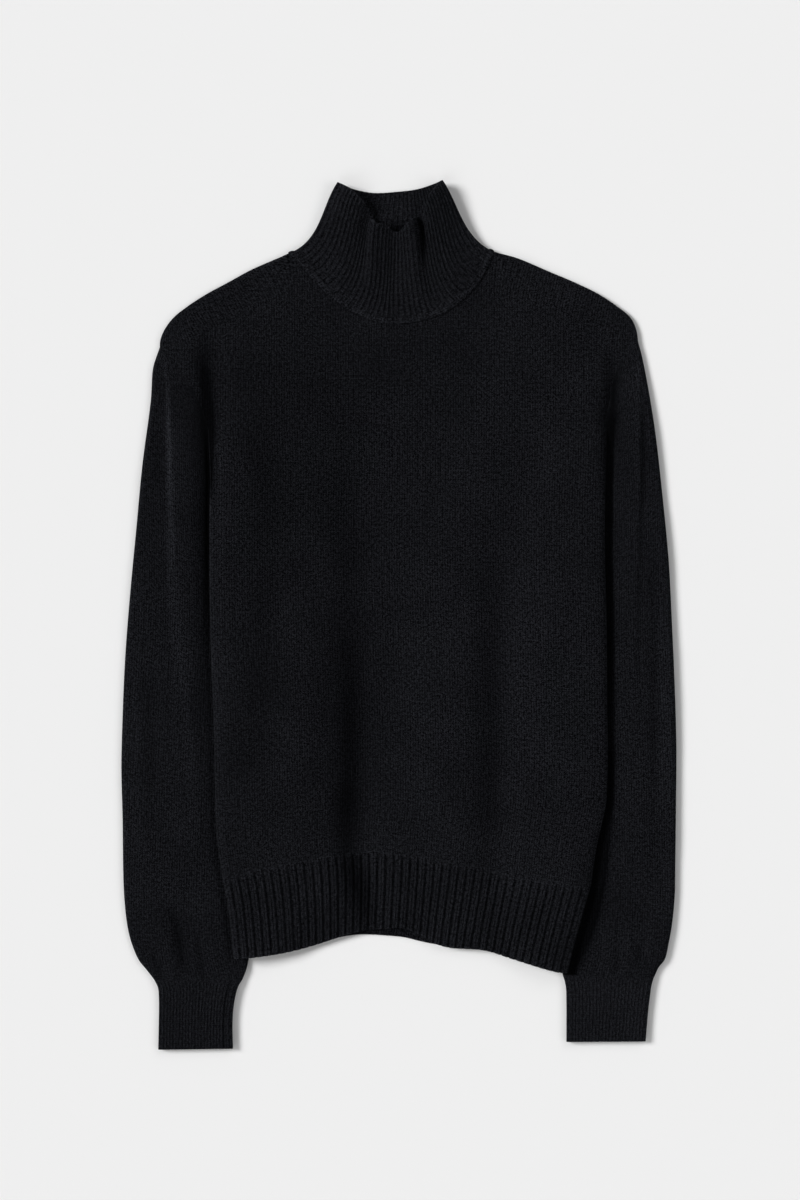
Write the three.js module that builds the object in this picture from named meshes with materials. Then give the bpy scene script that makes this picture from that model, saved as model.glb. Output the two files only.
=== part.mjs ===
import * as THREE from 'three';

// Turtleneck sweater, plain knit with a ribbed collar, hem and cuffs, laid flat on its back.
// Millimetres. +X runs to the wearer's left sleeve, +Y from the hem to the collar and +Z up.
// The origin is the middle of the garment's footprint, on the surface that it lies on.
// The wearer's right sleeve is therefore at -X. Both sleeves are tucked a little under the body.

// The cloth and how its layers lie on each other
const WALL = 2.5;
const SEAM_GAP = 0.4;
const BODY_SLACK = 2.0;
const TUCK_HEIGHT = 6.4;
const TUCK_BRIDGE = 22;
const TUCK_RAMP = 40;
const UNDERARM_RAMP = 42;

// How the folded edges of the body and the sleeves turn round
const SIDE_ROLL = 8;
const SIDE_SEAM_RISE = 3.2;
const SIDE_SWELL = 3.2;
const SIDE_SWELL_REACH = 60;
const BACK_ROLL = 3.5;
const SHOULDER_ROLL = 5;
const SHOULDER_SEAM_RISE = 3.6;
const SLEEVE_ROLL = 5;
const SLEEVE_FLAT = 5.5;
const SLEEVE_GAP_RIGHT = 1.5;
const SLEEVE_GAP_LEFT = 4;
const SLEEVE_RAMP = 11;
const SLEEVE_HEAD_SHARE = 0.12;
const UNDERARM_FREE = 9;
const HEM_FREE = 12;
const CUFF_ROLL = 4;
const CUFF_TOP = 7.6;

// Ribbing
const HEM_RIBS = 45;
const HEM_RIB_HEIGHT = 1.1;
const CUFF_RIBS = 24;
const CUFF_RIB_HEIGHT = 0.6;
const COLLAR_FRONT_RIBS = 42;
const COLLAR_BACK_RIBS = 28;
const COLLAR_RIB_HEIGHT = 0.9;
const COLLAR_SEAM_TOP = 8.2;
const COLLAR_SEAM_GAP = 0.9;
const COLLAR_SIDE_MIDDLE = 4.4;
const COLLAR_BASE_ROLL = 6;
const COLLAR_HOLLOW_RIGHT = 8;
const COLLAR_HOLLOW_LEFT = 6.5;
const COLLAR_HOLLOW_SLANT = [0.83, 0.56];
const NECK_ARC = 200;

// Shares of the panels' edges where one stretch meets the next
const UNDERARM_SHARE = 0.82;
const NECK_RIGHT_SHARE = 0.273;
const NECK_LEFT_SHARE = 0.695;
const COLLAR_FRONT_SHARE = COLLAR_FRONT_RIBS / (COLLAR_FRONT_RIBS + COLLAR_BACK_RIBS);

// Rows with named columns
function table(columns, ...rows) {
  return rows.map((row) => Object.fromEntries(columns.map((name, index) => [name, row[index]])));
}

// Outline of the body, from the hem seam up to the underarm
const SIDE_RIGHT = table(['x', 'y'],
  [-159, -234.5], [-164, -198.5], [-165.5, -157], [-166.5, -97], [-169, -38], [-170.5, 30],
  [-170.5, 88.5], [-170, 128], [-172, 167]);
const SIDE_LEFT = table(['x', 'y'],
  [173, -242], [177.5, -211], [183, -186], [186.5, -169.5], [188, -125.5], [187.5, -81.5],
  [187, -8.5], [185.5, 50], [185.5, 104], [187.5, 167]);

// Armhole seams, from the underarm up to the point of the shoulder
const ARMHOLE_RIGHT = table(['x', 'y'],
  [-172, 167], [-174.5, 178], [-179, 190.5], [-188, 207.5], [-196, 220], [-208.5, 234.5], [-215.5, 241.5]);
const ARMHOLE_LEFT = table(['x', 'y'],
  [187.5, 167], [188.5, 185], [191, 201], [193.5, 214], [199, 229], [204.5, 236], [210.5, 242.5],
  [215.5, 247]);

// Shoulder lines and necklines, from -X to +X
const SHOULDER_RIGHT = table(['x', 'y'],
  [-215.5, 241.5], [-215, 248], [-211.5, 257], [-203.5, 268], [-190.5, 278.5], [-173.5, 289.5],
  [-154, 300], [-134, 311], [-116, 319], [-98, 326.5]);
const NECK_FRONT = table(['x', 'y'],
  [-98, 326.5], [-91.5, 321], [-76.5, 304], [-61, 288.5], [-45, 277.5], [-28.5, 269], [-12.5, 264.5],
  [3.5, 264.5], [20, 267], [36, 272], [51.5, 281], [67.5, 296.5], [77.5, 312], [84, 328]);
const NECK_BACK = table(['x', 'y'],
  [-98, 326.5], [-84.5, 318], [-57.5, 308], [-8, 303], [41.5, 308], [70.5, 318], [84, 328]);
const SHOULDER_LEFT = table(['x', 'y'],
  [84, 328], [106.5, 322], [132.5, 311], [158.5, 300], [180, 289.5], [196.5, 278.5], [209, 268],
  [214, 257], [215.5, 247]);

// The seam between body and hem, the free edges of the hem, and its two short sides
const HEM_SEAM = table(['x', 'y'],
  [-159, -234.5], [-141, -231], [-116, -225.5], [-91, -221], [-53, -215], [-28, -212], [-2.5, -213],
  [26, -218.5], [51.5, -223], [76.5, -227], [102, -232], [127, -237], [152, -241], [173, -242]);
const HEM_EDGE_FRONT = table(['x', 'y'],
  [-148.5, -308.5], [-136, -308], [-103.5, -303.5], [-78, -297.5], [-53, -289.5], [-32.5, -284], [-10, -282],
  [1, -281.5], [12, -284.5], [23.5, -290], [31.5, -295], [45, -299], [76.5, -301.5], [102, -309],
  [139.5, -320], [151.5, -322]);
const HEM_EDGE_BACK = table(['x', 'y'],
  [-148.5, -308.5], [-103.5, -302.5], [-78, -296.5], [-53, -290], [-34, -287.5], [-10, -288.5], [4.5, -290],
  [19, -293.5], [31.5, -296], [64, -299.5], [102, -308], [151.5, -322]);
const HEM_SIDE_RIGHT = table(['x', 'y'], [-148.5, -308.5], [-151.5, -278.5], [-154.5, -257], [-159, -234.5]);
const HEM_SIDE_LEFT = table(['x', 'y'], [151.5, -322], [157.5, -297.5], [166.5, -265], [173, -242]);

// Sleeves, from the armhole to the cuff: the outer fold shows, the inner fold is tucked under the body
const SLEEVE_OUTER_RIGHT = table(['x', 'y'],
  [-215.5, 241.5], [-218, 234.5], [-221.5, 223], [-223.5, 194], [-231, 136.5], [-236.5, 79], [-242, 21],
  [-246.5, -36.5], [-249, -94], [-250, -137], [-249, -180.5], [-247.5, -252.5], [-244, -283], [-240, -297.5],
  [-234, -311], [-227.5, -319], [-222, -326]);
const SLEEVE_INNER_RIGHT = table(['x', 'y'],
  [-172, 167], [-170.5, 145], [-163, 118], [-149, 88], [-134, 58], [-122, 15], [-115, -50], [-118, -112],
  [-123, -175], [-127.5, -229], [-131.5, -274], [-135, -307.5], [-137.5, -319], [-141, -328]);
const SLEEVE_OUTER_LEFT = table(['x', 'y'],
  [215.5, 247], [219, 233.5], [224, 208.5], [231, 165], [237.5, 107.5], [243, 50], [246, -7.5], [248.5, -65],
  [250, -120], [249.5, -180], [249, -223.5], [248.5, -252.5], [246, -278.5], [243, -295.5], [239.5, -310],
  [234, -317], [230.5, -324.5]);
const SLEEVE_INNER_LEFT = table(['x', 'y'],
  [187.5, 167], [186.5, 145], [179, 118], [165, 88], [151, 58], [140, 15], [134, -50], [136, -112],
  [138.5, -175], [140.5, -229], [142.5, -274], [146, -310], [147.5, -323.5]);

// Height of what shows of a sleeve: crown at its highest, and brim lower than that along its outer fold
const SLEEVE_SECTIONS = table(['along', 'crown', 'brim'],
  [0, 12, 1], [0.12, 12.6, 2.6], [0.25, 11.6, 2.6], [0.5, 9.8, 1.3], [0.75, 9, 0.8], [0.92, 8.6, 0.6],
  [1, 7.6, 0]);

// Cuffs, from the sleeve to the open end
const CUFF_OUTER_RIGHT = table(['x', 'y'], [-222, -326], [-217.5, -334.5], [-216.5, -342.5], [-217, -391]);
const CUFF_INNER_RIGHT = table(['x', 'y'],
  [-141, -328], [-144.5, -334.5], [-147, -343.5], [-149, -357], [-149.5, -373], [-149, -390]);
const CUFF_OUTER_LEFT = table(['x', 'y'],
  [230.5, -324.5], [228, -332.5], [226.5, -342.5], [225, -355], [222.5, -383.5]);
const CUFF_INNER_LEFT = table(['x', 'y'], [147.5, -323.5], [150, -334.5], [150.5, -349], [150.5, -384]);

// Upper edge of the collar, by rib from the wearer's right tip round the front and back again.
// The front edge sinks in two soft pleats, so that the ribbed inside of the back shows above it.
const COLLAR_RIM = table(['rib', 'x', 'y', 'z'],
  [0, -55.5, 390, 11], [2.2, -48.5, 386.5, 16.5], [4.6, -41.5, 382, 19], [8, -32.5, 373, 18.5],
  [10.5, -27, 365, 15.5], [12.3, -25, 358.5, 14.5], [14.2, -22.5, 352.5, 19], [17.5, -11.5, 351.5, 15.5],
  [20, -5.5, 346, 14], [22, 0, 345, 15.5], [24.4, 5.5, 350.5, 19], [26.6, 12, 356, 21.5],
  [28.6, 17, 359, 13], [30.8, 20.5, 366, 16], [34, 26, 376, 20.5], [38, 33.5, 385.5, 19],
  [42, 38, 391, 12.5], [43.5, 34.5, 390, 5], [46, 27.5, 387.5, 1.2], [50, 18, 384.5, 0],
  [56, 0, 382, 0], [62, -25, 381, 0], [66, -41.5, 384.5, 1], [68.6, -51, 388, 4.6], [70, -55.5, 390, 11]);

// Soft folds that fall down the front: depth in the middle of each, fading to its ends
const FOLDS = table(['topX', 'topY', 'footX', 'footY', 'depth', 'reach'],
  [-47.5, 40, -47.5, -190, 1.5, 11], [-45, -170, -30, -262, 1.5, 9], [-31, -245, -24, -300, 1.7, 8],
  [85.5, 110, 77, -216, 1.2, 12], [-55, 190, -55, 70, 0.7, 12], [-122, 185, -134, -110, 0.9, 13]);

const { lerp, clamp, smoothstep } = THREE.MathUtils;

// A smooth curve through rows of x and y; share runs from 0 to 1 by length
function curveThrough(rows) {
  const knots = rows.map(({ x, y }) => new THREE.Vector3(x, y, 0));
  const curve = new THREE.CatmullRomCurve3(knots, false, 'centripetal');
  return (share) => curve.getPointAt(clamp(share, 0, 1));
}

// One edge made of stretches, each ending at its own share
function edgeThrough(...stretches) {
  let from = 0;
  const parts = stretches.map(({ rows, until }) => {
    const part = { from, until, curve: curveThrough(rows) };
    from = until;
    return part;
  });
  return (share) => {
    const part = parts.find(({ until }) => share <= until) ?? parts.at(-1);
    return part.curve((share - part.from) / (part.until - part.from));
  };
}

// A column of a table read at any value of its key, smoothly from row to row
function readTable(rows, key, at, name) {
  const last = rows.length - 1;
  const next = clamp(rows.findIndex((row) => row[key] >= at), 1, last);
  const slope = (index) => {
    const a = rows[Math.max(index - 1, 0)];
    const b = rows[Math.min(index + 1, last)];
    return (b[name] - a[name]) / (b[key] - a[key]);
  };
  const a = rows[next - 1];
  const b = rows[next];
  const span = b[key] - a[key];
  const t = clamp((at - a[key]) / span, 0, 1);
  const rise = b[name] - a[name];
  const bendA = slope(next - 1) * span - rise;
  const bendB = rise - slope(next) * span;
  return a[name] + rise * t + t * (1 - t) * (bendA * (1 - t) + bendB * t);
}

// How far round a folded edge a point at this distance from it has turned, from 0 to 1
function roundOver(distance, radius) {
  const rest = 1 - clamp(distance / radius, 0, 1);
  return Math.sqrt(1 - rest * rest);
}

// A point inside a panel, from its four edges
function panelPoint({ foot, head, start, end }, across, along) {
  const point = foot(across).multiplyScalar(1 - along).addScaledVector(head(across), along);
  point.addScaledVector(start(along), 1 - across).addScaledVector(end(along), across);
  point.addScaledVector(foot(0), -(1 - across) * (1 - along)).addScaledVector(foot(1), -across * (1 - along));
  return point.addScaledVector(head(0), -(1 - across) * along).addScaledVector(head(1), -across * along);
}

// The cloth's outward normal, from small steps on its surface.
// A flattened tube gives its own lengthwise direction, so that its ends stay flat.
function normalAt(surface, across, along, closed, lengthwise) {
  const step = 1e-5;
  const before = closed ? across - step : Math.max(across - step, 0);
  const after = closed ? across + step : Math.min(across + step, 1);
  const sideways = surface(after, along).sub(surface(before, along));
  if (lengthwise) return sideways.cross(lengthwise(along)).normalize();
  const upwards = surface(across, Math.min(along + step, 1)).sub(surface(across, Math.max(along - step, 0)));
  return sideways.cross(upwards).normalize();
}

// A closed wall of cloth. The outer side carries the relief and the inner side is plain.
function clothWall(piece) {
  const { surface, lengthwise, relief = () => 0, columns, innerColumns = columns, rows } = piece;
  const { closed = false, faceDown = false } = piece;
  const points = [];
  const triangles = [];
  const side = faceDown ? -1 : 1;
  const layPoints = (shares, offset) => rows.map((along) => shares.map((across) => {
    const normal = normalAt(surface, across, along, closed, lengthwise).multiplyScalar(side);
    points.push(surface(across, along).addScaledVector(normal, offset(across, along)));
    return points.length - 1;
  }));
  const outer = layPoints(columns, relief);
  const inner = layPoints(innerColumns, () => -WALL);
  const wrap = (line) => (closed ? [...line, line[0]] : line);
  const wrapShares = (shares) => (closed ? [...shares, 1] : shares);

  const addFace = (a, b, c, flip) => triangles.push(...(flip ? [a, c, b] : [a, b, c]));
  const addSkin = (grid, flip) => {
    for (let row = 0; row < grid.length - 1; row += 1) {
      const low = wrap(grid[row]);
      const high = wrap(grid[row + 1]);
      for (let column = 0; column < low.length - 1; column += 1) {
        const [a, b, c, d] = [low[column], low[column + 1], high[column + 1], high[column]];
        if (points[a].distanceTo(points[c]) <= points[b].distanceTo(points[d])) {
          addFace(a, b, c, flip);
          addFace(a, c, d, flip);
        } else {
          addFace(a, b, d, flip);
          addFace(b, c, d, flip);
        }
      }
    }
  };
  // The rim between two edges, which may have different numbers of points
  const addRim = (outerLine, outerShares, innerLine, innerShares, flip) => {
    let o = 0;
    let i = 0;
    while (o < outerLine.length - 1 || i < innerLine.length - 1) {
      const innerDone = i === innerLine.length - 1;
      if (innerDone || (o < outerLine.length - 1 && outerShares[o + 1] <= innerShares[i + 1])) {
        addFace(outerLine[o + 1], outerLine[o], innerLine[i], flip);
        o += 1;
      } else {
        addFace(innerLine[i], innerLine[i + 1], outerLine[o], flip);
        i += 1;
      }
    }
  };

  addSkin(outer, faceDown);
  addSkin(inner, !faceDown);
  const acrossShares = [wrapShares(columns), wrapShares(innerColumns)];
  addRim(wrap(outer[0]), acrossShares[0], wrap(inner[0]), acrossShares[1], faceDown);
  addRim(wrap(outer.at(-1)), acrossShares[0], wrap(inner.at(-1)), acrossShares[1], !faceDown);
  if (!closed) {
    const columnOf = (grid, index) => grid.map((line) => line.at(index));
    addRim(columnOf(outer, 0), rows, columnOf(inner, 0), rows, !faceDown);
    addRim(columnOf(outer, -1), rows, columnOf(inner, -1), rows, faceDown);
  }

  const geometry = new THREE.BufferGeometry().setFromPoints(points);
  geometry.setIndex(triangles);
  geometry.computeVertexNormals();
  return geometry;
}

// Even shares from one value to another, both included
function evenShares(from, to, cells) {
  return Array.from({ length: cells + 1 }, (_, index) => lerp(from, to, index / cells));
}

// Depth of the soft folds at a point of the front
function foldDepth(x, y) {
  return FOLDS.reduce((depth, fold) => {
    const length = Math.hypot(fold.footX - fold.topX, fold.footY - fold.topY);
    const dirX = (fold.footX - fold.topX) / length;
    const dirY = (fold.footY - fold.topY) / length;
    const down = (x - fold.topX) * dirX + (y - fold.topY) * dirY;
    const off = (x - fold.topX) * dirY - (y - fold.topY) * dirX;
    const share = clamp(down / length, 0, 1);
    return depth + fold.depth * Math.sin(Math.PI * share) ** 0.7 * Math.exp(-((off / fold.reach) ** 2));
  }, 0);
}

// Height of what the back lies on: the surface, or a sleeve tucked below it
function restHeight(x, y) {
  const inner = x < 0 ? SLEEVE_INNER_RIGHT : SLEEVE_INNER_LEFT;
  const downwards = inner.map((row) => ({ x: Math.abs(row.x), down: -row.y }));
  const innerX = readTable(downwards, 'down', -y, 'x');
  const sideways = smoothstep(Math.abs(x), innerX - TUCK_BRIDGE - TUCK_RAMP, innerX - TUCK_BRIDGE);
  const underarmY = inner[0].y;
  const below = 1 - smoothstep(y, underarmY + 2, underarmY + UNDERARM_RAMP);
  return TUCK_HEIGHT * sideways * below;
}

// How much the body's side is folded at this height: fully below the underarm, not at all at the armhole
function sideFold(y) {
  return 1 - smoothstep(y, SIDE_RIGHT.at(-1).y - 25, SIDE_RIGHT.at(-1).y + 12);
}

// Outer height of the front at a point, this far from its side and from its shoulder seam
function frontHeight(x, y, fromSide, fromShoulder) {
  const rest = restHeight(x, y);
  const folded = sideFold(y);
  const swell = SIDE_SWELL * folded * (1 - smoothstep(fromSide, SIDE_ROLL, SIDE_SWELL_REACH));
  const flat = rest + 2 * WALL + BODY_SLACK + swell - foldDepth(x, y) * smoothstep(fromSide, 0, 30);
  const sideSeam = rest + SIDE_SEAM_RISE;
  const turned = lerp(flat, lerp(sideSeam, flat, roundOver(fromSide, SIDE_ROLL)), folded);
  return lerp(rest + SHOULDER_SEAM_RISE, turned, roundOver(fromShoulder, SHOULDER_ROLL));
}

// Outer height of the back, whose outer side faces the ground
function backHeight(x, y, fromSide, fromShoulder) {
  const rest = restHeight(x, y);
  const sideSeam = rest + lerp(0, SIDE_SEAM_RISE - SEAM_GAP, sideFold(y));
  const turned = lerp(sideSeam, rest, roundOver(fromSide, BACK_ROLL));
  return lerp(rest + SHOULDER_SEAM_RISE - SEAM_GAP, turned, roundOver(fromShoulder, BACK_ROLL));
}

// How far outside the body's folded side a point lies
function outsideBody({ x, y }) {
  const hemAndSide = x < 0 ? [HEM_SIDE_RIGHT, SIDE_RIGHT.slice(1)] : [HEM_SIDE_LEFT, SIDE_LEFT.slice(1)];
  const side = hemAndSide.flat();
  return Math.abs(x) - Math.abs(readTable(side, 'y', clamp(y, side[0].y, side.at(-1).y), 'x'));
}

// Distance from a point of a panel to the nearer side
function distanceFromSide(edges, across, along) {
  return Math.min(across, 1 - across) * edges.start(along).distanceTo(edges.end(along));
}

// Body panels
const sideAndArmholeRight = edgeThrough(
  { rows: SIDE_RIGHT, until: UNDERARM_SHARE }, { rows: ARMHOLE_RIGHT, until: 1 });
const sideAndArmholeLeft = edgeThrough(
  { rows: SIDE_LEFT, until: UNDERARM_SHARE }, { rows: ARMHOLE_LEFT, until: 1 });

function bodyEdges(neckline) {
  return {
    foot: curveThrough(HEM_SEAM),
    head: edgeThrough(
      { rows: SHOULDER_RIGHT, until: NECK_RIGHT_SHARE },
      { rows: neckline, until: NECK_LEFT_SHARE },
      { rows: SHOULDER_LEFT, until: 1 }),
    start: sideAndArmholeRight,
    end: sideAndArmholeLeft,
  };
}

function bodySurface(neckline, height) {
  const edges = bodyEdges(neckline);
  return (across, along) => {
    const point = panelPoint(edges, across, along);
    const onShoulder = Math.max(
      1 - smoothstep(across, NECK_RIGHT_SHARE - 0.01, NECK_RIGHT_SHARE + 0.02),
      smoothstep(across, NECK_LEFT_SHARE - 0.02, NECK_LEFT_SHARE + 0.01));
    const fromHead = (1 - along) * edges.foot(across).distanceTo(edges.head(across));
    const fromShoulder = lerp(SHOULDER_ROLL, fromHead, onShoulder);
    point.z = height(point.x, point.y, distanceFromSide(edges, across, along), fromShoulder);
    return point;
  };
}

const SIDE_ROLL_SHARES = [0, 0.0041, 0.0132, 0.0229];
const bodyColumns = [
  ...SIDE_ROLL_SHARES,
  ...evenShares(0.06, NECK_RIGHT_SHARE, 4),
  ...evenShares(NECK_RIGHT_SHARE, NECK_LEFT_SHARE, 15).slice(1),
  ...evenShares(NECK_LEFT_SHARE, 0.94, 4).slice(1),
  ...SIDE_ROLL_SHARES.map((share) => 1 - share).reverse(),
];
// Rows up the armhole, which the sleeve's first ring shares
const ARMHOLE_SHARES = [0.167, 0.333, 0.39, 0.46, 0.55, 0.667, 0.833, 0.944, 0.981];
const EDGE_COLUMN = ARMHOLE_SHARES[1];
const bodyRows = [
  ...evenShares(0, 0.72, 11),
  0.77,
  ...[0, ...ARMHOLE_SHARES, 1].map((share) => lerp(UNDERARM_SHARE, 1, share)),
];
const bodyFront = clothWall({
  surface: bodySurface(NECK_FRONT, frontHeight), columns: bodyColumns, rows: bodyRows,
});
const bodyBack = clothWall({
  surface: bodySurface(NECK_BACK, backHeight), columns: bodyColumns, rows: bodyRows, faceDown: true,
});

// Hem: a wide rib on the front; the back rests flat and is plain
const beneathSeam = new THREE.Vector3(0, -SEAM_GAP, 0);

function hemSurface(edgeRows, height) {
  const seam = curveThrough(HEM_SEAM);
  const edges = {
    foot: curveThrough(edgeRows),
    head: seam,
    start: curveThrough(HEM_SIDE_RIGHT),
    end: curveThrough(HEM_SIDE_LEFT),
  };
  return (across, along) => {
    const point = panelPoint(edges, across, along).addScaledVector(beneathSeam, along);
    point.z = height(point.x, point.y, distanceFromSide(edges, across, along), SHOULDER_ROLL);
    return point;
  };
}

// Rib relief with a narrow groove at each whole number and a broad flat ridge between
function broadRib(count) {
  const phase = count - Math.floor(count);
  return smoothstep(Math.min(phase, 1 - phase), 0, 0.3);
}

const hemRibs = Array.from({ length: HEM_RIBS }, (_, rib) => rib);
const hemFrontColumns = hemRibs.flatMap((rib) => [rib, rib + 0.3, rib + 0.7])
  .concat(HEM_RIBS)
  .map((count) => count / HEM_RIBS);
const hemRows = [0, 0.33, 0.67, 1];
const hemFront = clothWall({
  surface: hemSurface(HEM_EDGE_FRONT, frontHeight),
  relief: (across) => HEM_RIB_HEIGHT * broadRib(across * HEM_RIBS),
  columns: hemFrontColumns,
  innerColumns: bodyColumns,
  rows: hemRows,
});
const hemBack = clothWall({
  surface: hemSurface(HEM_EDGE_BACK, backHeight), columns: bodyColumns, rows: hemRows, faceDown: true,
});

// Sleeves and cuffs are flattened tubes: a ring runs over the top and comes back along the ground
function tubeSurface({ outer, inner, place, gather = (share) => share, topHeight, roll, shift }) {
  return (around, along) => {
    const turn = around - Math.floor(around);
    const onTop = turn <= 0.5;
    const across = gather(onTop ? 2 * turn : 2 - 2 * turn, along);
    const point = place(across, along).add(shift);
    const fromFold = Math.min(across, 1 - across) * inner(along).distanceTo(outer(along));
    const turned = roundOver(fromFold, roll);
    const top = topHeight(across, along, point);
    const middle = top / 2;
    point.z = onTop ? lerp(middle, top, turned) : lerp(middle, 0, turned);
    return point;
  };
}

// The small move outwards and down that parts a sleeve from the body at the armhole seam
function clearOfArmhole(outward) {
  return new THREE.Vector3(outward * 0.9, -0.45, 0).multiplyScalar(SEAM_GAP);
}

// Towards the cuff, square to the line from a flattened tube's inner fold to its outer fold
function towardsCuff(inner, outer, outward) {
  return (along) => {
    const chord = outer(along).sub(inner(along)).normalize();
    return new THREE.Vector3(-chord.y, chord.x, 0).multiplyScalar(-outward);
  };
}

// Sleeve rings follow the armhole seam at the shoulder and straighten towards the cuff. The head is as high
// as the front beside it. Further down, the sleeve stands up beside the body, past a narrow gap.
function sleeveSurface({ outerRows, innerRows, armholeRows, outward, gap }) {
  const armhole = curveThrough(armholeRows);
  const inner = curveThrough(innerRows);
  const outer = curveThrough(outerRows);
  const place = (across, along) => {
    const bend = armhole(across).sub(inner(0).lerp(outer(0), across));
    return inner(along).lerp(outer(along), across).addScaledVector(bend, 1 - smoothstep(along, 0, 0.35));
  };
  const underarmY = innerRows[0].y;
  const hemCornerY = outward < 0 ? HEM_SIDE_RIGHT[0].y : HEM_SIDE_LEFT[0].y;
  const free = (point) => Math.max(
    smoothstep(outsideBody(point), gap, gap + SLEEVE_RAMP),
    smoothstep(point.y, underarmY, underarmY + UNDERARM_FREE),
    1 - smoothstep(point.y, hemCornerY - HEM_FREE, hemCornerY));
  const topHeight = (across, along, point) => {
    const crown = readTable(SLEEVE_SECTIONS, 'along', along, 'crown');
    const brim = readTable(SLEEVE_SECTIONS, 'along', along, 'brim') * smoothstep(across, 0.6, 1);
    const head = frontHeight(point.x, point.y, Infinity, Infinity);
    const shown = lerp(head, crown - brim, smoothstep(along, 0, SLEEVE_HEAD_SHARE));
    return lerp(SLEEVE_FLAT, shown, free(point));
  };
  // Moves a ring's points across so that one of them lies at the body's edge
  const gather = (share, along) => {
    let covered = 0;
    let bare = 1;
    for (let step = 0; step < 12; step += 1) {
      const middle = (covered + bare) / 2;
      if (outsideBody(place(middle, along)) > 0) bare = middle;
      else covered = middle;
    }
    const edge = lerp(EDGE_COLUMN, bare, smoothstep(along, 0, 0.08));
    if (share <= EDGE_COLUMN) return share * edge / EDGE_COLUMN;
    return lerp(edge, 1, (share - EDGE_COLUMN) / (1 - EDGE_COLUMN));
  };
  const shift = clearOfArmhole(outward);
  return {
    surface: tubeSurface({ outer, inner, place, gather, topHeight, roll: SLEEVE_ROLL, shift }),
    lengthwise: towardsCuff(inner, outer, outward),
  };
}

const sleeveTopShares = [0, 0.01, 0.03, 0.08, ...ARMHOLE_SHARES, 0.992, 1];
const sleeveBottomShares = [...ARMHOLE_SHARES].reverse().concat(0.03);
function ringShares(top, bottom) {
  return [...top.map((share) => share / 2), ...bottom.map((share) => 1 - share / 2)];
}

const sleeveColumns = ringShares(sleeveTopShares, sleeveBottomShares);
const sleeveRows = [
  0, 0.025, 0.06, 0.1, 0.15, 0.21, 0.28, 0.36, 0.44, 0.52, 0.6, 0.68, 0.76, 0.83, 0.89, 0.935, 0.97, 1,
];

function sleeve(shape) {
  return clothWall({
    ...sleeveSurface(shape),
    columns: sleeveColumns,
    rows: sleeveRows,
    closed: true,
    faceDown: shape.outward > 0,
  });
}

const sleeveRight = sleeve({
  outerRows: SLEEVE_OUTER_RIGHT, innerRows: SLEEVE_INNER_RIGHT, armholeRows: ARMHOLE_RIGHT, outward: -1,
  gap: SLEEVE_GAP_RIGHT,
});
const sleeveLeft = sleeve({
  outerRows: SLEEVE_OUTER_LEFT, innerRows: SLEEVE_INNER_LEFT, armholeRows: ARMHOLE_LEFT, outward: 1,
  gap: SLEEVE_GAP_LEFT,
});

// Cuffs: a fine rib on the upper side, which the lower side has too but rests flat on
const fineRib = (count) => Math.abs(Math.sin(Math.PI * count));
const cuffTopShares = evenShares(0, 1, 2 * CUFF_RIBS);
const cuffColumns = ringShares(cuffTopShares, [0.96, 0.7, 0.35, 0.04]);
const cuffInnerColumns = ringShares([0, 0.015, 0.05, 0.2, 0.5, 0.8, 0.95, 0.985, 1], [0.95, 0.5, 0.05]);

function cuff({ outerRows, innerRows, outward }) {
  const outer = curveThrough(outerRows);
  const inner = curveThrough(innerRows);
  const place = (across, along) => inner(along).lerp(outer(along), across);
  const shift = clearOfArmhole(outward).add(beneathSeam);
  return clothWall({
    surface: tubeSurface({ outer, inner, place, topHeight: () => CUFF_TOP, roll: CUFF_ROLL, shift }),
    lengthwise: towardsCuff(inner, outer, outward),
    relief: (around) => (around < 0.5 ? CUFF_RIB_HEIGHT * fineRib(2 * around * CUFF_RIBS) : 0),
    columns: cuffColumns,
    innerColumns: cuffInnerColumns,
    rows: [0, 0.12, 0.25, 0.6, 1],
    closed: true,
    faceDown: outward > 0,
  });
}

const cuffRight = cuff({ outerRows: CUFF_OUTER_RIGHT, innerRows: CUFF_INNER_RIGHT, outward: -1 });
const cuffLeft = cuff({ outerRows: CUFF_OUTER_LEFT, innerRows: CUFF_INNER_LEFT, outward: 1 });

// Collar: one ribbed tube that narrows upwards, its sides hollowed just above the neckline
const neckFront = curveThrough(NECK_FRONT);
const neckBack = curveThrough([...NECK_BACK].reverse());
const COLLAR_RIBS = COLLAR_FRONT_RIBS + COLLAR_BACK_RIBS;
const NECK_CENTRE = new THREE.Vector3(-7, 330, 0);

function collarBase(turn) {
  const onFront = turn <= COLLAR_FRONT_SHARE;
  const share = onFront ? turn / COLLAR_FRONT_SHARE : (turn - COLLAR_FRONT_SHARE) / (1 - COLLAR_FRONT_SHARE);
  const point = onFront ? neckFront(share) : neckBack(share);
  const fromFold = Math.min(share, 1 - share) * NECK_ARC;
  const turned = roundOver(fromFold, COLLAR_BASE_ROLL);
  point.addScaledVector(NECK_CENTRE.clone().sub(point).normalize(), COLLAR_SEAM_GAP);
  point.z = lerp(COLLAR_SIDE_MIDDLE, onFront ? COLLAR_SEAM_TOP : 0, turned);
  return point;
}

// along * (1 - along)^2 is highest a third of the way up; this brings it to 1 there
const HOLLOW_PEAK = 27 / 4;

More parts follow.
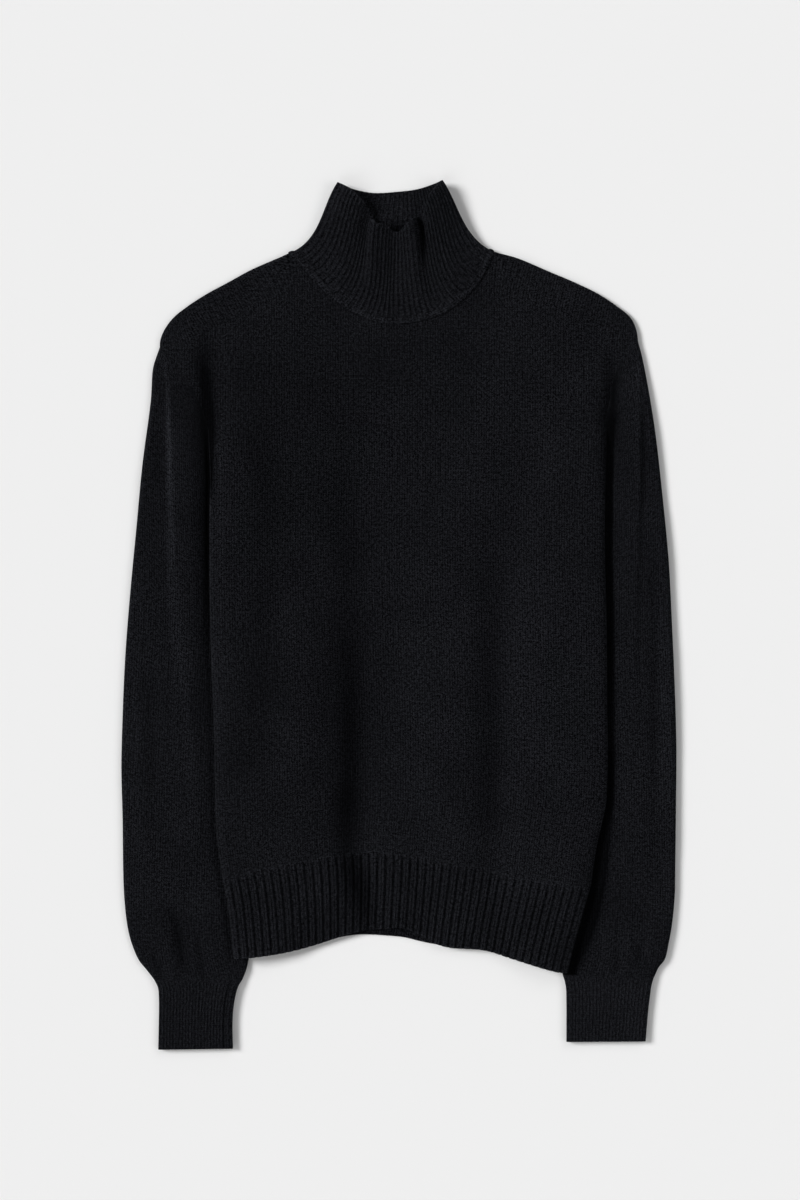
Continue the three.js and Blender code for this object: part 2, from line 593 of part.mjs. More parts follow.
function collarSurface(around, along) {
  const turn = around - Math.floor(around);
  const base = collarBase(turn);
  const rib = turn * COLLAR_RIBS;
  const rim = new THREE.Vector3(
    readTable(COLLAR_RIM, 'rib', rib, 'x'),
    readTable(COLLAR_RIM, 'rib', rib, 'y'),
    Math.max(readTable(COLLAR_RIM, 'rib', rib, 'z'), 0));
  const onFront = turn <= COLLAR_FRONT_SHARE;
  const share = onFront ? turn / COLLAR_FRONT_SHARE : (1 - turn) / (1 - COLLAR_FRONT_SHARE);
  const point = base.clone().lerp(rim, along);
  point.z = lerp(base.z, rim.z, along ** 1.2);
  const sideways = 2 * share - 1;
  const hollow = (sideways < 0 ? COLLAR_HOLLOW_RIGHT : COLLAR_HOLLOW_LEFT) * Math.abs(sideways) ** 1.5;
  const swing = HOLLOW_PEAK * along * (1 - along) ** 2;
  point.x -= Math.sign(sideways) * COLLAR_HOLLOW_SLANT[0] * hollow * swing;
  point.y -= COLLAR_HOLLOW_SLANT[1] * hollow * swing;
  return point;
}

const UNDERSIDE_FROM = (COLLAR_FRONT_RIBS + 6) / COLLAR_RIBS;
const UNDERSIDE_TO = (COLLAR_RIBS - 6) / COLLAR_RIBS;
const collarColumns = [
  ...evenShares(0, UNDERSIDE_FROM, 2 * (COLLAR_FRONT_RIBS + 6)),
  ...evenShares(UNDERSIDE_FROM, UNDERSIDE_TO, 8).slice(1),
  ...evenShares(UNDERSIDE_TO, 1, 12).slice(1, -1),
];
const collarInnerColumns = evenShares(0, 1, COLLAR_RIBS / 2).slice(0, -1);
const collar = clothWall({
  surface: collarSurface,
  relief: (around, along) => {
    const clear = smoothstep(collarSurface(around, along).z, 0.5, 4);
    return COLLAR_RIB_HEIGHT * fineRib(around * COLLAR_RIBS) * clear;
  },
  columns: collarColumns,
  innerColumns: collarInnerColumns,
  rows: [0, 0.14, 0.28, 0.42, 0.58, 0.74, 0.88, 1],
  closed: true,
});

const sweater = new THREE.Group();

function addPiece(name, geometry) {
  const yarn = new THREE.MeshStandardMaterial({ color: 0x14151a, roughness: 0.95, metalness: 0 });
  const mesh = new THREE.Mesh(geometry, yarn);
  mesh.name = name;
  sweater.add(mesh);
}

addPiece('body_front', bodyFront);
addPiece('body_back', bodyBack);
addPiece('hem_front', hemFront);
addPiece('hem_back', hemBack);
addPiece('sleeve_right', sleeveRight);
addPiece('sleeve_left', sleeveLeft);
addPiece('cuff_right', cuffRight);
addPiece('cuff_left', cuffLeft);
addPiece('collar', collar);

export default sweater;
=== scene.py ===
import math

import bmesh
import bpy
import numpy as np
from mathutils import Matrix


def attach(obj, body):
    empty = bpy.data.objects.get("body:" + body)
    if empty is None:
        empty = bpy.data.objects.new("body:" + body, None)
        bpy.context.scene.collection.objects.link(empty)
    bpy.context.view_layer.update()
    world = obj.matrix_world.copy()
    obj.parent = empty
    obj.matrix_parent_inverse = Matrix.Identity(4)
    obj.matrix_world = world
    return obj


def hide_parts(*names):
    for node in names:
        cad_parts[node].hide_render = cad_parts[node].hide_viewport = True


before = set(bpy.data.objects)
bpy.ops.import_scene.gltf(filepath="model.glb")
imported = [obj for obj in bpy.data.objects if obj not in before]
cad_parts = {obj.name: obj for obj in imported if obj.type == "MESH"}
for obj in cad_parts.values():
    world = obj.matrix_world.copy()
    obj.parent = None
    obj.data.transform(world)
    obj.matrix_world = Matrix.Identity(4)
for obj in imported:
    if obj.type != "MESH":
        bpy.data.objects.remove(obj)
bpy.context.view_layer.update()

# Back panel. One plain-knit panel of fine black wool, knitted from the hem up, narrowed at the armholes
# and cast off along the shoulders. It lies on the surface and bridges over the sleeves tucked under it,
# and is linked to the front at the sides and shoulders. Sizes are in millimetres, brought to metres by MM.
MM = 0.001
WALL = 2.5
TUCK_HEIGHT = 6.4
TUCK_BRIDGE = 22
TUCK_RAMP = 40
UNDERARM_RAMP = (-30, 10)
SIDE_SEAM_RISE = 3.2
SHOULDER_SEAM_RISE = 3.6
BACK_ROLL = 3.5
UNDERARM_SHARE = 0.82
NECK_RIGHT_SHARE = 0.273
NECK_LEFT_SHARE = 0.695
COURSE = 1.7
BODY_WALES = 156
NOT_NEAR = 1000
FREE_EDGE_ROUNDING = 0.9
# Painted shade on the back's side edges, under the front's
BACK_SEAM_SHADE = -6
# Painted light: how much lighter the wool's tone is drawn for each millimetre of rise, and the least that
# painted shade leaves of its tone
PAINTED_LIGHT_PER_MM = 0.14
LEAST_TONE = 0.15
# The wool's tone runs from a painted shadow between the stitches to the wool's own tone
STITCH_SHADOW = (0.0005, 0.0005, 0.0007, 1)
WOOL_TONE = (0.0281, 0.0294, 0.0353, 1)
PLAIN_STITCH_DEPTH = 0.9

# Outlines as x and y. The wearer's right is at -X, on the picture's left.
SIDE_RIGHT = [(-159, -234.5), (-164, -198.5), (-165.5, -157), (-166.5, -97), (-169, -38), (-170.5, 30),
              (-170.5, 88.5), (-170, 128), (-172, 167)]
SIDE_LEFT = [(173, -242), (177.5, -211), (183, -186), (186.5, -169.5), (188, -125.5), (187.5, -81.5),
             (187, -8.5), (185.5, 50), (185.5, 104), (187.5, 167)]
ARMHOLE_RIGHT = [(-172, 167), (-174.5, 178), (-179, 190.5), (-188, 207.5), (-196, 220), (-208.5, 234.5),
                 (-215.5, 241.5)]
ARMHOLE_LEFT = [(187.5, 167), (188.5, 185), (191, 201), (193.5, 214), (199, 229), (204.5, 236),
                (210.5, 242.5), (215.5, 247)]
SHOULDER_RIGHT = [(-215.5, 241.5), (-215, 248), (-211.5, 257), (-203.5, 268), (-190.5, 278.5),
                  (-173.5, 289.5), (-154, 300), (-134, 311), (-116, 319), (-98, 326.5)]
SHOULDER_LEFT = [(84, 328), (106.5, 322), (132.5, 311), (158.5, 300), (180, 289.5), (196.5, 278.5),
                 (209, 268), (214, 257), (215.5, 247)]
NECK_BACK = [(-98, 326.5), (-84.5, 318), (-57.5, 308), (-8, 303), (41.5, 308), (70.5, 318), (84, 328)]
HEM_SEAM = [(-159, -234.5), (-141, -231), (-116, -225.5), (-91, -221), (-53, -215), (-28, -212), (-2.5, -213),
            (26, -218.5), (51.5, -223), (76.5, -227), (102, -232), (127, -237), (152, -241), (173, -242)]
SLEEVE_INNER_RIGHT = [(-172, 167), (-164.5, 150), (-156, 124), (-146, 92), (-134, 58), (-122, 15),
                      (-115, -50), (-118, -112), (-123, -175), (-127.5, -229), (-131.5, -274),
                      (-135, -307.5), (-137.5, -319), (-141, -328)]
SLEEVE_INNER_LEFT = [(187.5, 167), (180, 150), (171.5, 124), (161.5, 92), (151, 58), (140, 15), (134, -50),
                     (136, -112), (138.5, -175), (140.5, -229), (142.5, -274), (146, -310), (147.5, -323.5)]


def ease(value, low, high):
    """0 below low, 1 above high and a soft step between them."""
    share = np.clip((value - low) / (high - low), 0, 1)
    return share * share * (3 - 2 * share)


def between(a, b, share):
    return a + (b - a) * share


def rounded(distance, radius):
    """How far round a folded edge a point at this distance from it has turned, from 0 to 1."""
    rest = 1 - np.clip(distance / radius, 0, 1)
    return np.sqrt(1 - rest * rest)


def smooth_line(points, steps=24):
    """A smooth line through points; the function it gives back finds places at shares of its length."""
    knots = np.array(points, float)
    knots = np.concatenate([[2 * knots[0] - knots[1]], knots, [2 * knots[-1] - knots[-2]]])
    t = np.linspace(0, 1, steps, endpoint=False)[:, None]
    stretches = []
    for before, a, b, after in zip(knots, knots[1:], knots[2:], knots[3:]):
        first, middle, last = (math.sqrt(np.linalg.norm(step)) for step in (a - before, b - a, after - b))
        leave = (a - before) / first - (b - before) / (first + middle) + (b - a) / middle
        arrive = (b - a) / middle - (after - a) / (middle + last) + (after - b) / last
        leave, arrive = leave * middle, arrive * middle
        square = 3 * (b - a) - 2 * leave - arrive
        cube = 2 * (a - b) + leave + arrive
        stretches.append(a + leave * t + square * t ** 2 + cube * t ** 3)
    places = np.concatenate([*stretches, knots[-2:-1]])
    lengths = np.linalg.norm(np.diff(places, axis=0), axis=1)
    shares = np.concatenate([[0], np.cumsum(lengths)]) / lengths.sum()
    return lambda at: np.stack([np.interp(at, shares, column) for column in places.T], axis=-1)


def joined_line(*stretches):
    """One edge made of stretches, each its points and the share of the edge where it ends."""
    lines = [smooth_line(points) for points, _ in stretches]
    ends = [0, *(end for _, end in stretches)]

    def place(at):
        at = np.asarray(at, float)
        found = lines[0](at / ends[1])
        for line, start, end in zip(lines[1:], ends[1:], ends[2:]):
            found = np.where((at > start)[..., None], line((at - start) / (end - start)), found)
        return found
    return place


def panel_place(edges, across, along):
    """Places inside a panel, from its four edges: foot, head, start and end."""
    foot, head, start, end = edges
    a, b = across[..., None], along[..., None]
    place = foot(across) * (1 - b) + head(across) * b + start(along) * (1 - a) + end(along) * a
    place = place - foot(0.0) * (1 - a) * (1 - b) - foot(1.0) * a * (1 - b)
    return place - head(0.0) * (1 - a) * b - head(1.0) * a * b


def distance_from_side(edges, across, along):
    width = np.linalg.norm(edges[3](along) - edges[2](along), axis=-1)
    return np.minimum(across, 1 - across) * width


def dense_edges(middle_cells, edge_share, edge_cells=9):
    """Shares from 0 to 1 that turn evenly round a folded edge at each end."""
    turns = np.linspace(0, math.pi / 2, edge_cells + 1)
    near = edge_share * (1 - np.cos(turns))
    return np.concatenate([near[:-1], np.linspace(edge_share, 1 - edge_share, middle_cells + 1),
                           1 - near[-2::-1]])


def rest_height(x, y):
    """Height of what the back lies on: the surface, or a sleeve tucked below it."""
    right, left = (np.array(rows)[::-1].T for rows in (SLEEVE_INNER_RIGHT, SLEEVE_INNER_LEFT))
    inner = np.where(x < 0, -np.interp(y, right[1], right[0]), np.interp(y, left[1], left[0]))
    sideways = ease(np.abs(x), inner - TUCK_BRIDGE - TUCK_RAMP, inner - TUCK_BRIDGE)
    underarm = SLEEVE_INNER_RIGHT[0][1]
    low, high = UNDERARM_RAMP
    return TUCK_HEIGHT * sideways * (1 - ease(y, underarm + low, underarm + high))


def side_fold(y, ease_in=5):
    """How much the body's side is folded: fully below the underarm, not at all at the armhole."""
    underarm = SIDE_RIGHT[-1][1]
    return 1 - ease(y, underarm - ease_in, underarm + 12)


def back_height(x, y, from_side, from_shoulder):
    rest = rest_height(x, y)
    turned = between(rest + SIDE_SEAM_RISE * side_fold(y), rest, rounded(from_side, BACK_ROLL))
    return between(rest + SHOULDER_SEAM_RISE, turned, rounded(from_shoulder, BACK_ROLL))


def body_surface(neckline, height):
    """The outer side of a body panel, as a function of the shares across and along it."""
    edges = (
        smooth_line(HEM_SEAM),
        joined_line((SHOULDER_RIGHT, NECK_RIGHT_SHARE), (neckline, NECK_LEFT_SHARE), (SHOULDER_LEFT, 1)),
        joined_line((SIDE_RIGHT, UNDERARM_SHARE), (ARMHOLE_RIGHT, 1)),
        joined_line((SIDE_LEFT, UNDERARM_SHARE), (ARMHOLE_LEFT, 1)),
    )

    def surface(across, along):
        x, y = panel_place(edges, across, along).T
        on_shoulder = np.maximum(1 - ease(across, NECK_RIGHT_SHARE - 0.01, NECK_RIGHT_SHARE + 0.02),
                                 ease(across, NECK_LEFT_SHARE - 0.02, NECK_LEFT_SHARE + 0.01))
        from_head = (1 - along) * np.linalg.norm(edges[1](across) - edges[0](across), axis=-1)
        from_shoulder = between(NOT_NEAR, from_head, on_shoulder)
        z = height(x, y, distance_from_side(edges, across, along), from_shoulder)
        return np.stack([x, y, z], axis=-1)
    return surface


def body_stitches(place, across, along):
    """Wales and courses of the plain knit at a place; the wales lean outwards below the shoulders."""
    x, y = place[:, 0], place[:, 1]
    right, left = (np.array(rows).T for rows in (SIDE_RIGHT, SIDE_LEFT))
    start, end = np.interp(y, right[1], right[0]), np.interp(y, left[1], left[0])
    seam = np.array(HEM_SEAM).T
    bow = (np.interp(x, seam[0], seam[1]) - seam[1].mean()) * (1 - ease(y, -240, 60))
    shoulder = np.array(SHOULDER_RIGHT + SHOULDER_LEFT).T
    below_shoulder = np.interp(x, shoulder[0], shoulder[1]) - y
    lean = np.where(x < 0, 0.42, -0.2) * np.clip(34 - below_shoulder, 0, 34) * ease(np.abs(x + 7), 80, 115)
    lean *= 1 - ease(np.abs(x), 185, 210)
    return np.stack([(x + lean - start) / (end - start) * BODY_WALES, (y - bow) / COURSE], axis=-1)


def facing_of(surface, across, along, closed, lengthwise):
    """Unit normals of a surface, from small steps across and along it. A flattened tube gives its own
    lengthwise direction, so that its ends stay flat."""
    step = 1e-4
    before, after = across - step, across + step
    if not closed:
        before, after = np.maximum(before, 0), np.minimum(after, 1)
    sideways = surface(after, along) - surface(before, along)
    if lengthwise:
        upwards = lengthwise(along)
    else:
        upwards = surface(across, np.minimum(along + step, 1)) - surface(across, np.maximum(along - step, 0))
    facing = np.cross(sideways, upwards)
    return facing / np.maximum(np.linalg.norm(facing, axis=-1, keepdims=True), 1e-12)


def knit_piece(name, columns, rows, surface, stitches, outer=None, inner=None, rise=None, closed=False,
               side=1, lengthwise=None, rims=(), wall=WALL):
    """A knitted piece as a closed wall with an outer and an inner side.

    outer and inner give the ribs' relief on each side, away from the middle of the wall, and rise the painted
    shade (negative) and painted highlight at each place, mostly from how far a fold lifts or sinks it, which
    its tone follows. side is -1 where the piece faces down. rims names the free edges, foot, head or sides,
    which are rounded."""
    cloth = bmesh.new()
    bmesh.ops.create_grid(cloth, x_segments=len(columns) - 1, y_segments=len(rows) - 1, size=0.5)
    grid = np.array([vert.co[:2] for vert in cloth.verts]) + 0.5
    column = np.rint(grid[:, 0] * (len(columns) - 1)).astype(int)
    row = np.rint(grid[:, 1] * (len(rows) - 1)).astype(int)
    across, along = np.asarray(columns)[column], np.asarray(rows)[row]
    place = surface(across, along)
    facing = facing_of(surface, across, along, closed, lengthwise) * side
    relief = [give(across, along, place)[:, None] if give else 0 for give in (outer, inner)]
    outside = (place + facing * relief[0]) * MM
    inside = (place - facing * (wall + relief[1])) * MM

    mark = cloth.verts.layers.int.new("mark")
    # The rise attribute carries painted shade (negative) and painted highlight, which the wool's tone follows
    painted_shading_layer = cloth.verts.layers.float.new("rise")
    painted_shading_values = rise(across, along, place) if rise else np.zeros(len(place))
    for index, vert in enumerate(cloth.verts):
        vert[mark] = index
        vert[painted_shading_layer] = painted_shading_values[index]
        vert.co = outside[index]
    stitch = stitches(place, across, along)
    knit = cloth.loops.layers.uv.new("knit")
    for face in cloth.faces:
        face.smooth = True
        for loop in face.loops:
            loop[knit].uv = stitch[loop.vert[mark]]
    if closed:
        bmesh.ops.remove_doubles(cloth, verts=cloth.verts, dist=1e-7)
    skin = bmesh.ops.extrude_face_region(
        cloth, geom=cloth.verts[:] + cloth.edges[:] + cloth.faces[:], use_keep_orig=True)
    for part in skin["geom"]:
        if isinstance(part, bmesh.types.BMVert):
            part.co = inside[part[mark]]

    ends = {"foot": (row, 0), "head": (row, len(rows) - 1), "start": (column, 0),
            "end": (column, len(columns) - 1)}
    rim_edges = []
    for edge in cloth.edges:
        a, b = (vert[mark] for vert in edge.verts)
        if a != b and any(ends[rim][0][a] == ends[rim][1] == ends[rim][0][b] for rim in rims):
            rim_edges.append(edge)
    bmesh.ops.recalc_face_normals(cloth, faces=cloth.faces)
    if rim_edges:
        bmesh.ops.bevel(cloth, geom=rim_edges, offset=FREE_EDGE_ROUNDING * MM, offset_type="OFFSET",
                        segments=3, profile=0.5, affect="EDGES", material=-1, clamp_overlap=True)
    for face in cloth.faces:
        face.smooth = True
    mesh = bpy.data.meshes.new(name)
    cloth.to_mesh(mesh)
    cloth.free()
    piece = bpy.data.objects.new(name, mesh)
    bpy.context.scene.collection.objects.link(piece)
    return piece


def knit_yarn(name, stitch_depth):
    """Matte black wool in knit stitches. Each wale is a chain of slanting legs, uneven in tone."""
    material = bpy.data.materials.new(name)
    material.use_nodes = True
    nodes, links = material.node_tree.nodes, material.node_tree.links
    wool = nodes["Principled BSDF"]
    wool.inputs["Roughness"].default_value = 0.9
    wool.inputs["Specular IOR Level"].default_value = 0.008
    wool.inputs["Sheen Weight"].default_value = 0.02
    wool.inputs["Sheen Roughness"].default_value = 0.4
    wool.inputs["Sheen Tint"].default_value = (0.8, 0.87, 1, 1)

    def math_node(operation, *values):
        node = nodes.new("ShaderNodeMath")
        node.operation = operation
        for socket, value in zip(node.inputs, values):
            if isinstance(value, (int, float)):
                socket.default_value = value
            else:
                links.new(value, socket)
        return node.outputs[0]

    def noise(vector, scale, detail):
        node = nodes.new("ShaderNodeTexNoise")
        node.inputs["Scale"].default_value = scale
        node.inputs["Detail"].default_value = detail
        links.new(vector, node.inputs["Vector"])
        return node.outputs["Fac"]

    def stretched(value, low, high):
        node = nodes.new("ShaderNodeMapRange")
        node.inputs["From Min"].default_value = low
        node.inputs["From Max"].default_value = high
        links.new(value, node.inputs["Value"])
        return node.outputs["Result"]

    stitch = nodes.new("ShaderNodeUVMap")
    stitch.uv_map = "knit"
    place = nodes.new("ShaderNodeTexCoord")
    split = nodes.new("ShaderNodeSeparateXYZ")
    links.new(stitch.outputs["UV"], split.inputs["Vector"])

    # Stitches that are never quite even: a leg slants down from each side of a wale to its middle
    wobble = math_node("MULTIPLY", math_node("SUBTRACT", noise(stitch.outputs["UV"], 0.5, 2), 0.5), 0.9)
    wale = math_node("ADD", split.outputs["X"], math_node("MULTIPLY", wobble, 0.5))
    course = math_node("ADD", split.outputs["Y"], wobble)
    from_middle = math_node("ABSOLUTE", math_node("MULTIPLY_ADD", math_node("FRACT", wale), 2, -1))
    leg = math_node("SUBTRACT", course, math_node("MULTIPLY", from_middle, 0.6))
    strand = math_node("MULTIPLY_ADD", math_node("SINE", math_node("MULTIPLY", leg, 2 * math.pi)), 0.5, 0.5)
    between_wales = math_node("POWER", math_node("SUBTRACT", 1, math_node("POWER", from_middle, 3)), 0.7)
    height = math_node("MULTIPLY", math_node("MULTIPLY_ADD", strand, 0.55, 0.45), between_wales)
    fleck = stretched(noise(stitch.outputs["UV"], 0.8, 1), 0.38, 0.64)
    grain = stretched(noise(stitch.outputs["UV"], 2.1, 1), 0.38, 0.64)
    bump = nodes.new("ShaderNodeBump")
    bump.inputs["Distance"].default_value = stitch_depth * MM
    links.new(math_node("MULTIPLY_ADD", math_node("ADD", fleck, grain), 0.4, height), bump.inputs["Height"])
    links.new(bump.outputs["Normal"], wool.inputs["Normal"])

    # Painted highlight and painted shade: the tone is drawn lighter where the rise attribute is high, on
    # ridges, and darker where it is low, in troughs
    rise = nodes.new("ShaderNodeAttribute")
    rise.attribute_name = "rise"
    # Painted shade and painted highlight from the rise attribute
    painted_shading_tone = math_node("MAXIMUM", math_node("MULTIPLY_ADD", rise.outputs["Fac"], PAINTED_LIGHT_PER_MM, 1),
                       LEAST_TONE)
    patch = noise(place.outputs["Object"], 26, 3)
    # Painted shade in the gaps between wales and between legs, mixed with random flecks of lighter and darker
    # yarn
    stitch_shade_and_flecks = math_node("MULTIPLY_ADD", fleck, 0.3, math_node("MULTIPLY_ADD", height, 0.34, -0.3))
    stitch_shade_and_flecks = math_node("MULTIPLY_ADD", grain, 0.5, stitch_shade_and_flecks)
    tone = nodes.new("ShaderNodeMix")
    tone.data_type = "RGBA"
    tone.inputs["A"].default_value = STITCH_SHADOW
    tone.inputs["B"].default_value = WOOL_TONE
    even = math_node("MULTIPLY", painted_shading_tone, math_node("MULTIPLY_ADD", patch, 0.7, 0.65))
    links.new(math_node("MULTIPLY", stitch_shade_and_flecks, even), tone.inputs["Factor"])
    links.new(tone.outputs["Result"], wool.inputs["Base Color"])
    return material


plain_knit = knit_yarn("plain_knit_wool", PLAIN_STITCH_DEPTH)


def finish_piece(piece, node, material):
    piece.data.materials.append(material)
    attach(piece, "root")
    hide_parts(node)


def back_edge_painted_shade(across, along, place):
    """Painted shade on the back's side edges, where little light reaches under the front's."""
    return BACK_SEAM_SHADE * (1 - ease(np.minimum(across, 1 - across), 0.01, 0.03))


back = knit_piece("back_panel", dense_edges(56, 0.0105, 5), dense_edges(80, 0.007, 4),
                  body_surface(NECK_BACK, back_height), body_stitches, rise=back_edge_painted_shade, side=-1)
finish_piece(back, "body_back", plain_knit)

# Back hem. The same wool in a wide two-and-one rib, knitted on to the back panel in one piece with it.
# It rests on the surface, and its ribbed inner side shows where the front hem arches up over it.
HEM_RIBS = 45
HEM_WALL = 1.9
BACK_HEM_RIB_HEIGHT = 0.6
HEM_STITCHES_HIGH = 42
RIB_STITCH_DEPTH = 0.7
HEM_EDGE_BACK = [(-148.5, -308.5), (-103.5, -302.5), (-78, -296.5), (-53, -290), (-34, -287.5), (-10, -288.5),
                 (4.5, -290), (19, -293.5), (31.5, -296), (64, -299.5), (102, -308), (151.5, -322)]
HEM_SIDE_RIGHT = [(-148.5, -308.5), (-151.5, -278.5), (-154.5, -257), (-159, -234.5)]
HEM_SIDE_LEFT = [(151.5, -322), (157.5, -297.5), (166.5, -265), (173, -242)]
rib_knit = knit_yarn("rib_knit_wool", RIB_STITCH_DEPTH)


def hem_surface(edge, height):
    edges = [smooth_line(points) for points in (edge, HEM_SEAM, HEM_SIDE_RIGHT, HEM_SIDE_LEFT)]

    def surface(across, along):
        x, y = panel_place(edges, across, along).T
        return np.stack([x, y, height(x, y, distance_from_side(edges, across, along), NOT_NEAR)], axis=-1)
    return surface


def broad_rib(across):
    """Two-and-one rib from 0 in its narrow groove to 1 on its broad ridge, which two wales share."""
    phase = across * HEM_RIBS % 1
    from_groove = np.minimum(phase, 1 - phase)
    two_wales = np.abs(from_groove - 0.32) * 0.45
    return ease(from_groove, 0.02, 0.2) - two_wales * ease(from_groove, 0.2, 0.5)


def hem_stitches(place, across, along):
    return np.stack([across * HEM_RIBS * 3 + 0.5, along * HEM_STITCHES_HIGH], axis=-1)


back_hem = knit_piece(
    "back_hem", np.linspace(0, 1, HEM_RIBS * 6 + 1), np.linspace(0, 1, 25),
    hem_surface(HEM_EDGE_BACK, back_height), hem_stitches,
    inner=lambda across, along, place: BACK_HEM_RIB_HEIGHT * broad_rib(across) * ease(1 - along, 0, 0.06),
    side=-1, wall=HEM_WALL, rims=["foot"])
finish_piece(back_hem, "hem_back", rib_knit)

# Front panel. Plain knit like the back, with a deeper neck. It lies on the back, rolls over at the sides
# and falls in soft lengthwise folds that show as faint bands of light and shade, partly painted into its
# tone.
BODY_SLACK = 2.0
FRONT_WALL = 2.2
FOLD_DEPTH = 2.2
SIDE_ROLL_RIGHT = 9
SIDE_ROLL_LEFT = 20
SIDE_SWELL = 3.2
SIDE_SWELL_REACH = 60
SHOULDER_ROLL = 5
NECK_FRONT = [(-98, 326.5), (-91.5, 321), (-76.5, 304), (-61, 288.5), (-45, 277.5), (-28.5, 269),
              (-12.5, 264.5), (3.5, 264.5), (20, 267), (36, 272), (51.5, 281), (67.5, 296.5), (77.5, 312),
              (84, 328)]
# Creases: the places they pass, how high they stand (negative where they sink) and how far they reach
FRONT_CREASES = [
    ([(-48, 150), (-46, 40), (-45, -70), (-44, -150), (-42, -205)], -2.6, 19),
    ([(-45, -20), (-44, -120), (-45, -180), (-41, -220), (-32, -275)], -2.4, 13),
    ([(-38, -215), (-30, -262), (-24, -302)], -2.6, 9),
    ([(86, 110), (84, 0), (82, -120), (79, -250)], -2.2, 16),
    ([(-134, 240), (-123, 150), (-119, 60), (-124, -60), (-132, -150)], -1.9, 17),
    ([(-110, 270), (-85, 150), (-60, 30)], -0.9, 48),
    ([(-55, 190), (-54, 130), (-55, 70)], -0.8, 14),
    ([(-183, 244), (-177, 218), (-174, 192), (-172, 160), (-171, 100)], -6, 6),
    ([(191, 240), (190, 215), (189, 190), (187.5, 160), (187, 100)], -6, 6),
    ([(-160, 225), (-157, 150), (-158, 30), (-156, -180)], 1.0, 7),
    ([(30, 60), (28, -60), (30, -150), (32, -230)], 0.9, 22),
    ([(128, 90), (120, 0), (122, -100), (125, -230)], 1.0, 26),
    ([(-20, 245), (0, 240), (25, 246)], -0.7, 8)]
# Painted shade (negative) and painted highlight: places whose tone is darker or lighter than their height
# alone would make them
FRONT_SHADES = [
    ([(-46, 20), (-46, -100), (-46, -180), (-43, -225), (-34, -275)], -0.9, 11),
    ([(-52, -150), (-51, -200), (-44, -240), (-36, -275)], -2.6, 12),
    ([(85, -10), (84, -120), (81, -200), (77, -280)], -1.3, 13),
    ([(-150, 232), (-60, 222), (30, 225), (85, 235)], -1.2, 46),
    ([(-100, 200), (-80, 120), (-60, 50)], -0.3, 40),
    ([(-150, -205), (0, -210), (155, -215)], 0.8, 34),
    ([(-177, 268), (-173, 234), (-171, 206), (-168, 182), (-167, 150)], -3.6, 7),
    ([(-170, 195), (-169.5, 165), (-169.3, 135), (-169, 105)], -5, 2.6)]


def crease_rise(creases, x, y):
    """Height that creases add at each place, or the painted shade and highlight that shade rows add, fading
    towards the ends of each.
    """
    rise = np.zeros_like(x)
    for points, height, reach in creases:
        places = smooth_line(points)(np.linspace(0, 1, 81))
        fade = np.sin(np.pi * np.linspace(0, 1, 81)) ** 0.6 * height
        near = (np.abs(x - places[:, 0].mean()) < np.ptp(places[:, 0]) + 6 * reach)
        near &= (y > places[:, 1].min() - 6 * reach) & (y < places[:, 1].max() + 6 * reach)
        if near.any():
            apart = (x[near, None] - places[:, 0]) ** 2 + (y[near, None] - places[:, 1]) ** 2
            closest = apart.argmin(axis=1)
            rise[near] += fade[closest] * np.exp(-apart.min(axis=1) / reach ** 2)
    return rise


def unevenness(x, y):
    """The slight waviness of cloth that was laid down by hand."""
    waves = [(0.11, 0.023, 0.4, 0.16), (-0.047, 0.071, 1.9, 0.14), (0.031, -0.052, 3.1, 0.22),
             (0.19, 0.037, 5.3, 0.06), (-0.083, 0.15, 2.2, 0.07)]
    return sum(size * np.sin(across * x + along * y + start) for across, along, start, size in waves)


def front_height(x, y, from_side, from_shoulder):
    rest, folded = rest_height(x, y), side_fold(y)
    swell = SIDE_SWELL * side_fold(y, 25) * (1 - ease(from_side, SIDE_ROLL_RIGHT, SIDE_SWELL_REACH))
    wavy = crease_rise(FRONT_CREASES, x, y) + unevenness(x, y)
    wavy = np.where(wavy < 0, FOLD_DEPTH * np.tanh(wavy / FOLD_DEPTH), wavy)
    flat = rest + 2 * WALL + BODY_SLACK + swell + wavy * between(1, ease(from_side, 0, 14), folded)
    roll = np.where(x < 0, SIDE_ROLL_RIGHT, SIDE_ROLL_LEFT)
    side = between(rest + SIDE_SEAM_RISE, flat, rounded(from_side, roll))
    laid = between(flat, side, folded)
    return between(rest + SHOULDER_SEAM_RISE, laid, rounded(from_shoulder, SHOULDER_ROLL))


# Painted shade in the creases' troughs and painted highlight on their ridges, with the tone-only shade rows
def painted_front_shading(x, y):
    return crease_rise(FRONT_CREASES + FRONT_SHADES, x, y)


def front_panel_painted_shading(across, along, place):
    return painted_front_shading(*place[:, :2].T)


front = knit_piece("front_panel", dense_edges(130, 0.0229, 9), dense_edges(200, 0.009, 6),
                   body_surface(NECK_FRONT, front_height), body_stitches, rise=front_panel_painted_shading,
                   wall=FRONT_WALL)
finish_piece(front, "body_front", plain_knit)

# Front hem. The wide rib again, 45 ridges across the front with a narrow groove between each two.
# It arches up a little to the left of its middle, where a trough of the front runs out over its edge.
FRONT_HEM_RIB_HEIGHT = 2.45
FRONT_HEM_GROOVE = 0.9
# Painted highlight along the front hem's lower edge
FRONT_HEM_EDGE_HIGHLIGHT = 3
HEM_EDGE_FRONT = [(-148.5, -308.5), (-136, -308), (-103.5, -303.5), (-78, -297.5), (-53, -289.5),
                  (-32.5, -284), (-10, -282), (1, -281.5), (12, -284.5), (23.5, -290), (31.5, -295),
                  (45, -299), (76.5, -301.5), (102, -309), (139.5, -320), (151.5, -322)]


def front_hem_relief(across, along, place):
    return (FRONT_HEM_RIB_HEIGHT * broad_rib(across) - FRONT_HEM_GROOVE) * ease(1 - along, 0, 0.07)


